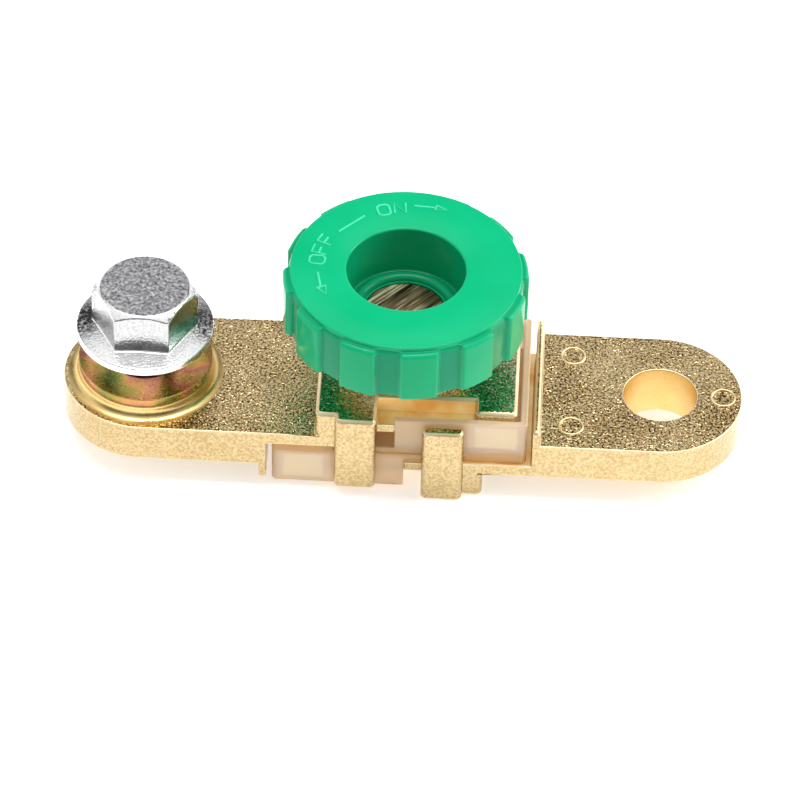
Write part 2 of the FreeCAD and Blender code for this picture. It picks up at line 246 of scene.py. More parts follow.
# %% Turn a pattern into numbers, colours and relief
def add_ramp(nodes, links, value, stops):
    """Turns a value into colour through the given stops."""
    ramp = nodes.new("ShaderNodeValToRGB")
    elements = ramp.color_ramp.elements
    while len(elements) < len(stops):
        elements.new(0.5)
    for element, (at, colour) in zip(elements, stops):
        element.position = at
        element.color = (*colour, 1)
    links.new(value, ramp.inputs["Fac"])
    return ramp.outputs["Color"]


def add_maths(nodes, links, operation, first, second=0.0):
    """One step of arithmetic on a pattern."""
    step = nodes.new("ShaderNodeMath")
    step.operation = operation
    for socket, value in zip(step.inputs, (first, second)):
        if isinstance(value, (int, float)):
            socket.default_value = value
        else:
            links.new(value, socket)
    return step.outputs[0]


def mix_colours(nodes, links, share, first, second):
    """Goes from the first colour to the second as the share goes from 0 to 1."""
    mix = nodes.new("ShaderNodeMixRGB")
    links.new(share, mix.inputs["Fac"])
    for socket, colour in (("Color1", first), ("Color2", second)):
        if isinstance(colour, tuple):
            mix.inputs[socket].default_value = (*colour, 1)
        else:
            links.new(colour, mix.inputs[socket])
    return mix.outputs["Color"]


def add_bump(nodes, links, height, depth, strength=1.0, below=None):
    """Raises the surface by up to depth metres where the height is 1."""
    bump = nodes.new("ShaderNodeBump")
    bump.inputs["Distance"].default_value = depth
    bump.inputs["Strength"].default_value = strength
    links.new(height, bump.inputs["Height"])
    if below:
        links.new(below, bump.inputs["Normal"])
    return bump.outputs["Normal"]


def spread(nodes, links, value, low, high, start=0.3, end=0.7):
    """Spreads the middle of a noise over the range from low to high."""
    reach = nodes.new("ShaderNodeMapRange")
    reach.inputs["From Min"].default_value = start
    reach.inputs["From Max"].default_value = end
    reach.inputs["To Min"].default_value = low
    reach.inputs["To Max"].default_value = high
    links.new(value, reach.inputs["Value"])
    return reach.outputs["Result"]


# %% [markdown]
# ## Brass plated zinc
#
# The castings are zinc with a thin brass plate. The plate follows the casting's skin, which is
# granular like orange peel, so a face that mirrors something dark breaks up into dark and cream
# specks while a face that mirrors the white table looks satin. A picture of the skin could be
# laid on, but a metal with a fine bump gives both looks from any side. Most specks come from what
# the face reflects, and the rest are painted into lit and shaded copies of the plate by the faces'
# direction. The upright faces' copy is darker, painted shade. The bars' level faces get near-black
# pits and cream crests, painted reflection and painted highlight over the skin's own pits, and the
# blocks' tops get a finer and paler copy, whose cream crests are painted highlights.


# %% Granular plate
def make_plated_casting(name, pitted, plain, crest, depth):
    """A granular skin from the colours of its pits, level skin and crests, and its depth; each
    copy's colours hold painted light and shade.
    """
    material, nodes, links, shader, place = new_finish(name)
    grain = add_noise(nodes, links, place, scale=2300, detail=2, roughness=0.6)
    patches = add_noise(nodes, links, place, scale=110, detail=2)
    pits = add_noise(nodes, links, place, scale=2700, detail=2, roughness=0.6)
    pits = add_maths(nodes, links, "ADD", pits, spread(nodes, links, patches, -0.04, 0.04))
    colour = add_ramp(nodes, links, pits, [(0.38, pitted), (0.47, plain), (0.60, crest)])
    links.new(colour, shader.inputs["Base Color"])
    links.new(spread(nodes, links, patches, 0.05, 0.10), shader.inputs["Roughness"])
    shader.inputs["Metallic"].default_value = 1.0
    coarse = add_noise(nodes, links, place, scale=520, detail=1)
    first = add_bump(nodes, links, coarse, 0.10 * MM, 0.6)
    links.new(add_bump(nodes, links, grain, depth, 1.0, first), shader.inputs["Normal"])
    return material


# Lit and shaded copies of one plate: the upright one darker, painted shade; the level one with
# near-black pits and cream crests, painted reflection and highlight; the blocks' one paler, painted
# highlight.
upright_shaded_copy = make_plated_casting("plated_upright_shaded_copy", (0.45, 0.32, 0.15), (0.53, 0.39, 0.19),
                                   (0.61, 0.47, 0.26), 0.12 * MM)
level_pits_and_reflection = make_plated_casting("plated_level_pits_and_reflection", (0.07, 0.04, 0.02), (0.76, 0.51, 0.20),
                                 (0.98, 0.82, 0.50), 0.15 * MM)
block_painted_highlight = make_plated_casting("plated_block_painted_highlight", (0.42, 0.35, 0.18), (0.60, 0.55, 0.31),
                                 (0.96, 0.91, 0.64), 0.10 * MM)

# %% [markdown]
# ## Smoother plate
#
# The boss and the bores were smoother in the mould, and the faces inside the notches are satin,
# painted lighter and glowing: painted light in the shaded notches. Along every edge the plate is
# painted pale, a painted highlight. One recipe with other colours and another gloss does for all
# three: a cloudy colour over a fine skin, without pits.


# %% Smooth plate
def make_smooth_plate(name, dark, light, least, most, glow=0.0):
    """A smooth skin from its darker and lighter colour, its range of roughness and its painted
    glow.
    """
    material, nodes, links, shader, place = new_finish(name)
    cloud = add_noise(nodes, links, place, scale=240, detail=3)
    colour = add_ramp(nodes, links, cloud, [(0.35, dark), (0.65, light)])
    links.new(colour, shader.inputs["Base Color"])
    links.new(spread(nodes, links, cloud, least, most), shader.inputs["Roughness"])
    shader.inputs["Metallic"].default_value = 1.0
    skin = add_noise(nodes, links, place, scale=1500, detail=2)
    links.new(add_bump(nodes, links, skin, 0.02 * MM, 0.6), shader.inputs["Normal"])
    links.new(colour, shader.inputs["Emission Color"])
    shader.inputs["Emission Strength"].default_value = glow
    return material


smooth_plate = make_smooth_plate("smooth_plate", (0.76, 0.53, 0.20), (0.84, 0.62, 0.27),
                                 0.24, 0.34)
# The notches' plate is lighter and glows: painted light where the notches lie in shade.
satin_painted_glow_plate = make_smooth_plate("satin_painted_glow_plate", (0.86, 0.52, 0.16), (1.00, 0.84, 0.48),
                                0.42, 0.56, glow=0.18)
# Pale along every edge: a painted highlight.
edge_painted_highlight = make_smooth_plate("edge_painted_highlight", (0.86, 0.70, 0.41), (0.95, 0.82, 0.55),
                                0.4, 0.5)

# %% [markdown]
# ## Milky plastic
#
# The trays are unfilled milky plastic: light enters, scatters and leaves warm from the metal
# behind. That light is painted into the colour by place: where the wall lies against the plated
# block, a lighter window is painted, and towards the skirt, with brass behind it, the milk is
# painted amber. The walls pass on the light of the white table, which a painted glow stands for,
# faint outside and stronger on the inner walls.

# %% Where the trays let the metal show through
# The block behind each tray's wall: left, right, low and high, in millimetres.
WINDOWS = {"insulator_upper": (11.35, 17.65, 9.7, 14.1),
           "insulator_lower": (-17.5, -11.3, 2.1, 6.9)}
# The heights between which the painted show-through goes from amber to milk.
SKIRTS = {"insulator_upper": (7.9 * MM, 9.3 * MM), "insulator_lower": (7.9 * MM, 6.5 * MM)}
# The amber of the brass behind the skirt, shown through the milk: painted light.
AMBER = (0.68, 0.42, 0.15)


def away_from_window(nodes, links, place, window):
    """How far a place lies outside a window, in metres."""
    split = nodes.new("ShaderNodeSeparateXYZ")
    links.new(place, split.inputs[0])
    left, right, low, high = (side * MM for side in window)
    reaches = []
    for axis, start, end in (("X", left, right), ("Z", low, high)):
        off = add_maths(nodes, links, "SUBTRACT", split.outputs[axis], (start + end) / 2)
        off = add_maths(nodes, links, "ABSOLUTE", off)
        reaches.append(add_maths(nodes, links, "SUBTRACT", off, (end - start) / 2))
    return add_maths(nodes, links, "MAXIMUM", *reaches)


# %% Milky plastic finish
def make_milky_plastic(name, window, skirt, glow):
    """Milky plastic with painted show-through: lighter where the block lies behind it, amber
    towards its skirt.
    """
    material, nodes, links, shader, place = new_finish(name)
    cloud = add_noise(nodes, links, place, scale=260, detail=3)
    away = away_from_window(nodes, links, place, window)
    wander = spread(nodes, links, cloud, -0.15 * MM, 0.15 * MM)
    away = add_maths(nodes, links, "ADD", away, wander)
    away = spread(nodes, links, away, 0, 1, -0.5 * MM, 1.5 * MM)
    milk = add_ramp(nodes, links, away, [(0.1, (0.89, 0.76, 0.56)), (0.32, (0.78, 0.65, 0.51)),
                                         (0.6, (0.80, 0.65, 0.47)), (0.9, (0.72, 0.56, 0.37))])
    split = nodes.new("ShaderNodeSeparateXYZ")
    links.new(place, split.inputs[0])
    near_skirt = spread(nodes, links, split.outputs["Z"], 1, 0, *skirt)
    colour = mix_colours(nodes, links, near_skirt, milk, AMBER)
    links.new(colour, shader.inputs["Base Color"])
    shader.inputs["Transmission Weight"].default_value = 0.45
    shader.inputs["Subsurface Weight"].default_value = 0.8
    shader.inputs["Subsurface Radius"].default_value = (1.6, 1.0, 0.5)
    shader.inputs["Subsurface Scale"].default_value = 0.9 * MM
    shader.inputs["IOR"].default_value = 1.45
    haze = add_noise(nodes, links, place, scale=1500, detail=2)
    links.new(spread(nodes, links, haze, 0.38, 0.5), shader.inputs["Roughness"])
    links.new(add_bump(nodes, links, haze, 0.01 * MM, 0.3), shader.inputs["Normal"])
    links.new(colour, shader.inputs["Emission Color"])
    shader.inputs["Emission Strength"].default_value = glow
    return material


milky_plastic = {}
# Each tray gets painted show-through and a faint painted glow, and a stronger painted glow inside.
for node, window in WINDOWS.items():
    milky_plastic[node] = [
        make_milky_plastic(f"milky_{node}", window, SKIRTS[node], glow=0.06),
        make_milky_plastic(f"milky_{node}_inside", window, SKIRTS[node], glow=0.3)]

# %% [markdown]
# ## Green and pale plastic
#
# The knob is coloured all through and glossy, and scatters a little light under its surface.
# The green is darkened by how far a place is from the axis: painted shade in the deep recess and in
# the step below the cap. The lettering is a paler green, a painted highlight on its crests. The
# sleeve, which only shows in the gap under the knob, is a plain pale plastic.

# %% Green plastic finish
# Painted shade by shares of 20 mm from the knob's axis: the recess ends at 0.45, the cap's step is
# round 0.88.
SHADE_BY_REACH = [(0.43, (0.62, 0.62, 0.62)), (0.45, (1, 1, 1)), (0.870, (1, 1, 1)),
        (0.877, (0.72, 0.72, 0.8)), (0.890, (0.76, 0.76, 0.84)), (0.903, (1, 1, 1))]


def make_green_plastic(name, dark, light):
    """Glossy plastic from its darker and lighter green, with painted shade in the recess and the
    step.
    """
    material, nodes, links, shader, place = new_finish(name)
    cloud = add_noise(nodes, links, place, scale=90, detail=2)
    colour = add_ramp(nodes, links, cloud, [(0.3, dark), (0.7, light)])
    reach = nodes.new("ShaderNodeVectorMath")
    reach.operation = "LENGTH"
    flat = nodes.new("ShaderNodeVectorMath")
    flat.operation = "MULTIPLY"
    flat.inputs[1].default_value = (1, 1, 0)
    links.new(place, flat.inputs[0])
    links.new(flat.outputs["Vector"], reach.inputs[0])
    outwards = spread(nodes, links, reach.outputs["Value"], 0, 1, 0, 20 * MM)
    painted_shade = add_ramp(nodes, links, outwards, SHADE_BY_REACH)
    darkened = nodes.new("ShaderNodeMixRGB")
    darkened.blend_type = "MULTIPLY"
    darkened.inputs["Fac"].default_value = 1.0
    links.new(colour, darkened.inputs["Color1"])
    links.new(painted_shade, darkened.inputs["Color2"])
    links.new(darkened.outputs["Color"], shader.inputs["Base Color"])
    shader.inputs["Subsurface Weight"].default_value = 0.1
    shader.inputs["Subsurface Radius"].default_value = (0.2, 1.0, 0.6)
    shader.inputs["Subsurface Scale"].default_value = 0.8 * MM
    shader.inputs["IOR"].default_value = 1.49
    shader.inputs["Specular IOR Level"].default_value = 0.17
    wave = add_noise(nodes, links, place, scale=150, detail=1)
    skin = add_noise(nodes, links, place, scale=4000, detail=2)
    links.new(spread(nodes, links, wave, 0.10, 0.17), shader.inputs["Roughness"])
    first = add_bump(nodes, links, wave, 0.02 * MM, 0.5)
    links.new(add_bump(nodes, links, skin, 0.002 * MM, 0.5, first), shader.inputs["Normal"])
    return material


green_plastic = make_green_plastic("green_plastic", (0.003, 0.385, 0.16), (0.006, 0.42, 0.185))
# The lettering's paler green is a painted highlight.
highlit_green = make_green_plastic("green_lettering_painted_highlight", (0.03, 0.60, 0.31), (0.07, 0.66, 0.38))


# %% Sleeve plastic finish
def make_sleeve_plastic():
    """Pale satin plastic."""
    material, nodes, links, shader, place = new_finish("sleeve_plastic")
    cloud = add_noise(nodes, links, place, scale=300, detail=3)
    colour = add_ramp(nodes, links, cloud, [(0.35, (0.70, 0.66, 0.58)), (0.65, (0.80, 0.77, 0.69))])
    links.new(colour, shader.inputs["Base Color"])
    shader.inputs["Subsurface Weight"].default_value = 0.3
    shader.inputs["Subsurface Scale"].default_value = 1.0 * MM
    links.new(spread(nodes, links, cloud, 0.38, 0.5), shader.inputs["Roughness"])
    links.new(add_bump(nodes, links, cloud, 0.01 * MM, 0.5), shader.inputs["Normal"])
    return material


sleeve_plastic = make_sleeve_plastic()

# %% [markdown]
# ## Brass
#
# The screw's head was sawn and ground, which leaves slanting streaks. Its sides were turned, which
# leaves fine rings. Both are noise drawn out along one direction: the streaks along the grinding,
# the rings by squeezing the noise along the screw's axis.


# %% Brass finishes
def make_ground_brass():
    """Brass with slanting streaks from grinding."""
    material, nodes, links, shader, place = new_finish("ground_brass")
    streaks = add_noise(nodes, links, place, scale=900, detail=4, roughness=0.7, stretch=(16, 1, 1),
                        turn=math.radians(47))
    colour = add_ramp(nodes, links, streaks, [(0.39, (0.05, 0.03, 0.02)), (0.5, (0.30, 0.21, 0.12)),
                                              (0.60, (0.90, 0.74, 0.52))])
    links.new(colour, shader.inputs["Base Color"])
    shader.inputs["Metallic"].default_value = 1.0
    links.new(spread(nodes, links, streaks, 0.28, 0.5), shader.inputs["Roughness"])
    links.new(add_bump(nodes, links, streaks, 0.05 * MM, 0.8), shader.inputs["Normal"])
    return material


def make_turned_brass():
    """Brass with fine rings from turning."""
    material, nodes, links, shader, place = new_finish("turned_brass")
    rings = add_noise(nodes, links, place, scale=60, detail=4, roughness=0.8,
                      stretch=(1, 1, 1 / 120))
    colour = add_ramp(nodes, links, rings, [(0.3, (0.46, 0.31, 0.12)), (0.7, (0.68, 0.50, 0.24))])
    links.new(colour, shader.inputs["Base Color"])
    shader.inputs["Metallic"].default_value = 1.0
    links.new(spread(nodes, links, rings, 0.16, 0.32), shader.inputs["Roughness"])
    links.new(add_bump(nodes, links, rings, 0.01 * MM, 0.6), shader.inputs["Normal"])
    return material


ground_brass = make_ground_brass()
turned_brass = make_turned_brass()

# %% [markdown]
# ## Zinc
#
# The bolt is bright zinc, and granular on top where the wire was cropped. The hexagon's upright
# sides take a darker copy of the zinc, painted shade. On the flange's left and right the colour
# goes over to dark and bright speckles by place, with a soft edge: a painted reflection.

# %% Zinc finishes
EYE_REACH = 39.05               # from the knob's axis to the bolt's, in millimetres
PATCH_OUTSIDE = (7.0, 7.8)     # the painted reflection comes in between these, to the left and right of the bolt
PATCH_WITHIN = (2.0, 4.5)      # and goes out between these, to the front and back


def make_bright_zinc(name, grey, bright_grey):
    """Zinc from its darker and brighter grey, with a painted reflection left and right of the bolt.
    """
    material, nodes, links, shader, place = new_finish(name)
    skin = add_noise(nodes, links, place, scale=2600, detail=2)
    bright = add_ramp(nodes, links, skin, [(0.35, (grey,) * 3), (0.6, (bright_grey,) * 3)])
    speckle = add_noise(nodes, links, place, scale=1700, detail=3, roughness=0.7)
    patch_speckle = add_ramp(nodes, links, speckle, [(0.42, (0.08, 0.08, 0.09)), (0.50, (0.40, 0.40, 0.42)),
                                         (0.56, (0.96, 0.96, 0.96))])
    split = nodes.new("ShaderNodeSeparateXYZ")
    links.new(place, split.inputs[0])
    across = add_maths(nodes, links, "ABSOLUTE",
                       add_maths(nodes, links, "ADD", split.outputs["X"], EYE_REACH * MM))
    along = add_maths(nodes, links, "ABSOLUTE", split.outputs["Y"])
    # The speckled patch left and right of the bolt is a painted reflection.
    outside = spread(nodes, links, across, 0, 1, *(reach * MM for reach in PATCH_OUTSIDE))
    beside = spread(nodes, links, along, 1, 0, *(reach * MM for reach in PATCH_WITHIN))
    patch_share = add_maths(nodes, links, "MULTIPLY", outside, beside)
    links.new(mix_colours(nodes, links, patch_share, bright, patch_speckle), shader.inputs["Base Color"])
    shader.inputs["Metallic"].default_value = 1.0
    cloud = add_noise(nodes, links, place, scale=350, detail=3)
    links.new(spread(nodes, links, cloud, 0.14, 0.24), shader.inputs["Roughness"])
    links.new(add_bump(nodes, links, skin, 0.05 * MM, 0.8), shader.inputs["Normal"])
    return material


def make_cropped_zinc():
    """Zinc with the rough grain of cropped wire."""
    material, nodes, links, shader, place = new_finish("cropped_zinc")
    grain = add_noise(nodes, links, place, scale=2000, detail=4, roughness=0.7)
    colour = add_ramp(nodes, links, grain, [(0.35, (0.17, 0.17, 0.18)), (0.5, (0.42, 0.42, 0.44)),
                                            (0.66, (0.80, 0.80, 0.81))])
    links.new(colour, shader.inputs["Base Color"])
    shader.inputs["Metallic"].default_value = 1.0
    links.new(spread(nodes, links, grain, 0.24, 0.42), shader.inputs["Roughness"])
    links.new(add_bump(nodes, links, grain, 0.10 * MM, 0.9), shader.inputs["Normal"])
    return material


bright_zinc = make_bright_zinc("bright_zinc", 0.86, 0.96)
# A darker copy of the bright zinc for the hexagon's sides: painted shade.
shaded_hex_zinc = make_bright_zinc("shaded_hex_zinc", 0.46, 0.60)
cropped_zinc = make_cropped_zinc()

# %% [markdown]
# ## Yellow passivate
#
# The washer's passivate is a film so thin that it shows the colours of oil on water. A thin film
# could be left to the shader, but its colours would then shift as the camera moves, while these
# lie in soft patches. So a slow noise runs through them: green, straw, copper and back.


# %% Yellow passivate finish
def make_yellow_passivate():
    """Steel under a film with soft patches of colour."""
    material, nodes, links, shader, place = new_finish("yellow_passivate")
    film = add_noise(nodes, links, place, scale=150, detail=2, roughness=0.35)
    colour = add_ramp(nodes, links, film, [
        (0.28, (0.13, 0.18, 0.05)), (0.40, (0.36, 0.29, 0.07)), (0.47, (0.60, 0.29, 0.11)),
        (0.53, (0.52, 0.20, 0.16)), (0.62, (0.66, 0.42, 0.15)), (0.74, (0.22, 0.34, 0.16))])
    links.new(colour, shader.inputs["Base Color"])
    shader.inputs["Metallic"].default_value = 1.0
    skin = add_noise(nodes, links, place, scale=1500, detail=2)
    links.new(spread(nodes, links, skin, 0.18, 0.30), shader.inputs["Roughness"])
    links.new(add_bump(nodes, links, skin, 0.01 * MM, 0.5), shader.inputs["Normal"])
    return material


yellow_passivate = make_yellow_passivate()

# %% [markdown]
# ## Places on the castings
#
# The two castings are one shape used twice, the second one turned over. So a place is told by how
# far it is from the nearer eye or from an ejector mark, and one test does for both.

# %% Tell places on the castings
MARKS = [(25.7, 7.7), (25.7, -7.7), (48.6, 0.0)]    # ejector marks, in millimetres
MARK_RADIUS = 1.75
BOSS_RADIUS = 10.2
FOOT_ROUND = 1.6


def on_a_mark(middle):
    """Tells whether a place is on the wall of one of the shallow ejector marks."""
    reaches = (math.hypot(abs(middle.x) - x * MM, middle.y - y * MM) for x, y in MARKS)
    return any(abs(reach - MARK_RADIUS * MM) < 0.1 * MM for reach in reaches)


def from_eye(place):
    """How far a place is from the nearer eye's axis, in millimetres."""
    return math.hypot(abs(place.x) / MM - EYE_REACH, place.y / MM)


# %% [markdown]
# ## The boss's hollow foot
#
# The construction has a plain bevel at the foot of the boss. In the mould this corner is a
# hollow round, which catches a bright and a dark ring. It could be spun anew, but the boss is one
# with its bar. So the bevel is laid through with level cuts, and the points on each cut are drawn
# in to the arc.


# %% Hollow out the foot of a boss
def hollow_foot(casting, level, side):
    """Turns the bevel that rises from a bar's face, at a level in millimetres, into an arc."""
    def on_bevel(face):
        slanting = abs(abs(face.normal.z) - 0.707) < 0.1
        rise = side * (face.center.z / MM - level)
        return (slanting and 0 < rise < FOOT_ROUND
                and from_eye(face.center) < BOSS_RADIUS + FOOT_ROUND)

    for degrees in range(15, 90, 15):
        choose(casting, "FACE", on_bevel)
        height = level + side * FOOT_ROUND * (1 - math.cos(math.radians(degrees)))
        bpy.ops.mesh.bisect(plane_co=(0, 0, height * MM), plane_no=(0, 0, 1))
    bpy.ops.object.mode_set(mode="OBJECT")
    moved = 0
    for vertex in casting.data.vertices:
        rise = side * (vertex.co.z / MM - level)
        reach = from_eye(vertex.co)
        on_slope = abs(reach - (BOSS_RADIUS + FOOT_ROUND - rise)) < 0.08
        if on_slope and 0.01 < rise < FOOT_ROUND - 0.01:
            turn = math.acos(1 - rise / FOOT_ROUND)
            wanted = BOSS_RADIUS + FOOT_ROUND * (1 - math.sin(turn))
            eye = math.copysign(EYE_REACH * MM, vertex.co.x)
            vertex.co.x = eye + (vertex.co.x - eye) * wanted / reach
            vertex.co.y *= wanted / reach
            moved += 1
    print(casting.name, "has", moved, "points drawn in at the boss's foot")


# %% [markdown]
# ## Threads
#
# The construction leaves threads as plain rounds, because a helix of its own would cost it
# thousands of faces. A thread can be spun with a Screw modifier, but its ends then hang open.
# Here the round wall gets rings, close together, and each point moves in or out by how far it
# is along the turn that passes it. The wall stays closed, and the thread fades out at its ends.


# %% Cut a thread into a round wall
THREAD_PITCH = 1.5
RINGS_A_TURN = 8
THREAD_FADE = 0.5


def cut_thread(piece, radius, low, high, depth, middle_x=0.0):
    """Lays rings through a wall, sizes in millimetres, and moves them by depth along a helix."""
    near = 0.03 * radius

    def on_wall(face):
        reach = math.hypot(face.center.x / MM - middle_x, face.center.y / MM)
        return (abs(face.normal.z) < 0.1 and abs(reach - radius) < near
                and low - 0.1 < face.center.z / MM < high + 0.1)

    rings = round((high - low) / THREAD_PITCH * RINGS_A_TURN)
    for i in range(rings + 1):
        height = low + (high - low) * i / rings
        choose(piece, "FACE", on_wall)
        bpy.ops.mesh.bisect(plane_co=(0, 0, height * MM), plane_no=(0, 0, 1))
    bpy.ops.object.mode_set(mode="OBJECT")
    for vertex in piece.data.vertices:
        x, y, z = vertex.co.x / MM - middle_x, vertex.co.y / MM, vertex.co.z / MM
        reach = math.hypot(x, y)
        if low < z < high and abs(reach - radius) < near:
            along = (z / THREAD_PITCH - math.atan2(y, x) / (2 * math.pi)) % 1
            fade = min(1.0, (z - low) / THREAD_FADE, (high - z) / THREAD_FADE)
            move = 1 + depth * fade * abs(2 * along - 1) / reach
            vertex.co.x = (middle_x + x * move) * MM
            vertex.co.y = y * move * MM
    print(piece.name, "thread from", low, "to", high, "mm")


def on_thread(radius, low, high, middle_x=0.0):
    """A test for places on a threaded wall, whose edges no bevel should touch."""
    def test(middle):
        reach = math.hypot(middle.x / MM - middle_x, middle.y / MM)
        return low * MM < middle.z < high * MM and abs(reach - radius) < 1.0

    return test


# %% [markdown]
# ## Which finish goes where on a casting
#
# Upright faces, level faces, the boss and the bores, the notches, the edges and the blocks' tops
# each have their own finish, and several hold painted light: shade on the upright faces, reflection
# and highlight on the level faces and the blocks' tops, highlight along the edges and a glow in the
# notches. They could be painted as masks, but the places are plain: every face is told by its
# height, its direction and how far it is from an eye or from the knob's axis.

# %% Tell the finish of a face
CASTING_PLATES = (upright_shaded_copy, level_pits_and_reflection, smooth_plate, satin_painted_glow_plate, edge_painted_highlight, block_painted_highlight)
UPRIGHT, LEVEL, SMOOTH, NOTCH_GLOW, EDGE, BLOCK = range(len(CASTING_PLATES))
# All in millimetres. Above and below the blocks' heights a level face is a block's own, between
# the notches' heights it lies inside one, and elsewhere it is a bar's.
BAR_LOW, BAR_HIGH = 4.7, 11.1
BLOCK_LOW, BLOCK_HIGH = 0.8, 15.0
NOTCH_LOW, NOTCH_HIGH = 3.1, 12.7
NOTCH_WALL = 7.8
BLOCK_REACH = 21.0
EYE_RADIUS = 5.8
SCREW_HOLE = 8.0


def finish_at(face):
    """The number of a face's finish, in the order in which the casting is given them."""
    height, eye = face.center.z / MM, from_eye(face.center)
    level, aside = abs(face.normal.z), abs(face.normal.y)
    # Notch walls and floors take the lighter, glowing plate: painted light.
    if abs(abs(face.center.y) / MM - NOTCH_WALL) < 0.1 and aside > 0.9:
        return NOTCH_GLOW
    off_the_bar = height > BAR_HIGH + 0.02 or height < BAR_LOW - 0.02
    on_boss = eye < BOSS_RADIUS + FOOT_ROUND and off_the_bar
    from_axis = math.hypot(face.center.x, face.center.y) / MM
    in_bore = eye < EYE_RADIUS or from_axis < SCREW_HOLE
    if on_boss or (in_bore and level < 0.9):
        return SMOOTH
    # Slanting faces, the softened edges, take the pale plate: a painted highlight.
    if 0.25 < level < 0.97:
        return EDGE
    if level < 0.9:
        return UPRIGHT
    if height > BLOCK_HIGH or height < BLOCK_LOW:
        return BLOCK
    in_notch = abs(face.center.x) / MM < BLOCK_REACH and NOTCH_LOW < height < NOTCH_HIGH
    return NOTCH_GLOW if in_notch else LEVEL


# %% [markdown]
# ## The two castings
#
# Both are softened in the same way. A larger radius would look like a toy: near the mould's
# parting the edges are sharper than a quarter millimetre, and 0.18 mm keeps the thin bright line
# that the photograph shows along them. The lower casting is tapped for the screw. Solids are cut
# along the rows of ejector marks, because those are holes in a face as well.

# %% Soften and dress the castings
TAP = {"radius": 6.05, "low": 0.3, "high": 6.6}
in_tap = on_thread(TAP["radius"], 0.1, 6.8)
mark_rows = sorted({y for x, y in MARKS})
for node, level, side in (("casting_bolt_side", BAR_HIGH, 1), ("casting_cable_side", BAR_LOW, -1)):
    casting = copy_solid(node, f"plated_{node}", cuts=mark_rows)
    hollow_foot(casting, level, side)
    if node == "casting_cable_side":
        cut_thread(casting, depth=0.7, **TAP)
    soften(casting, 0.18 * MM, segments=2, spare=lambda middle: on_a_mark(middle) or in_tap(middle))
    dress(casting, node, "switch_base", "plated_casting", *CASTING_PLATES)
    # Each face takes its copy of the plate by place and direction, painted light and shade
    # included.
    for face in casting.data.polygons:
        face.material_index = finish_at(face)

# %% [markdown]
# ## The trays
#
# Each tray is one moulding, softer at its edges than the castings. Its rims could be modelled
# anew, but the solid has the right shape, so it is softened with enough steps to catch a smooth
# highlight, and its inner walls get the finish with the stronger painted glow.

# %% Soften and dress the trays
INNER_SIDE = 10.93
INNER_END = 18.1


def on_wall_at(place, normal, reach):
    """Tells whether a face lies upright at this reach, in millimetres, on one axis."""
    return abs(abs(place) - reach * MM) < 0.08 * MM and abs(normal) > 0.9


for node in ("insulator_upper", "insulator_lower"):
    tray = copy_solid(node, f"milky_{node}")
    soften(tray, 0.26 * MM, segments=4)
    dress(tray, node, "switch_base", "milky_plastic", *milky_plastic[node])
    # The inner walls take the finish with the stronger painted glow.
    for face in tray.data.polygons:
        inner_side = on_wall_at(face.center.y, face.normal.y, INNER_SIDE)
        inner_end = on_wall_at(face.center.x, face.normal.x, INNER_END)
        face.material_index = int(inner_side or inner_end)

# %% [markdown]
# ## The knob
#
# The knob is a moulding with twelve pads round its grip, a raised cap and a deep recess. It could
# be cut from a cylinder, but then every rim would need its own bevel. Here its whole section,
# rims rounded, is spun once round the axis, and the grip's points are then drawn inwards where a
# valley runs. The cap stays a little low, because its lettering stands proud of it and the whole
# model has to keep its height.


# %% Spin a section round the knob's axis
def rounded(cx, cz, radius, start, end, steps=5):
    """Points on an arc, in millimetres and degrees."""
    for i in range(steps + 1):
        around = math.radians(start + (end - start) * i / steps)
        yield (cx + radius * math.cos(around), cz + radius * math.sin(around))


def spin_section(name, section, steps):
    """Spins a closed section of (radius, height) points, in millimetres, once round Z."""
    mesh = bpy.data.meshes.new(name)
    count = len(section)
    mesh.from_pydata([(r * MM, 0, z * MM) for r, z in section],
                     [(i, (i + 1) % count) for i in range(count)], [])
    piece = bpy.data.objects.new(name, mesh)
    bpy.context.collection.objects.link(piece)
    choose(piece, "VERT", lambda v: True)
    bpy.ops.mesh.spin(steps=steps, angle=2 * math.pi, center=(0, 0, 0), axis=(0, 0, 1))
    bpy.ops.mesh.select_all(action="SELECT")
    bpy.ops.mesh.remove_doubles(threshold=0.001 * MM)
    bpy.ops.mesh.normals_make_consistent(inside=False)
    bpy.ops.object.mode_set(mode="OBJECT")
    bpy.ops.object.shade_smooth_by_angle(angle=math.radians(35))
    return piece


# %% The knob's section
LETTER_RISE = 0.14 * MM
knob_low, knob_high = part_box("knob")
knob_top = knob_high.z - LETTER_RISE
FOOT = knob_low.z / MM
CAP = knob_top / MM
SHOULDER = 33.95
knob_section = [
    # the web that the screw's head sits in, and the foot of the recess
    (6.15, FOOT), (6.15, FOOT + 1.0), (8.6, FOOT + 1.0),
    *rounded(8.58, FOOT + 1.3, 0.3, -90, 0),
    # the recess's rim, the cap's edge, and the step down to the pads
    *rounded(9.28, CAP - 0.4, 0.4, 180, 90), *rounded(17.1, CAP - 0.2, 0.2, 90, 0),
    *rounded(17.38, SHOULDER + 0.08, 0.08, 180, 270, 2),
    # the pads' shoulder and foot
    *rounded(17.63, SHOULDER - 0.75, 0.75, 90, 0, 8), *rounded(18.13, FOOT + 0.25, 0.25, 0, -90),
    # the hollow under the knob
    *rounded(15.9, FOOT + 0.2, 0.2, -90, -180, 3),
    (15.7, FOOT + 7.35), (10.7, FOOT + 7.35), (10.7, FOOT)]
knob = spin_section("green_knob", knob_section, steps=720)
print(knob.name, "spun from a section of", len(knob_section), "points")


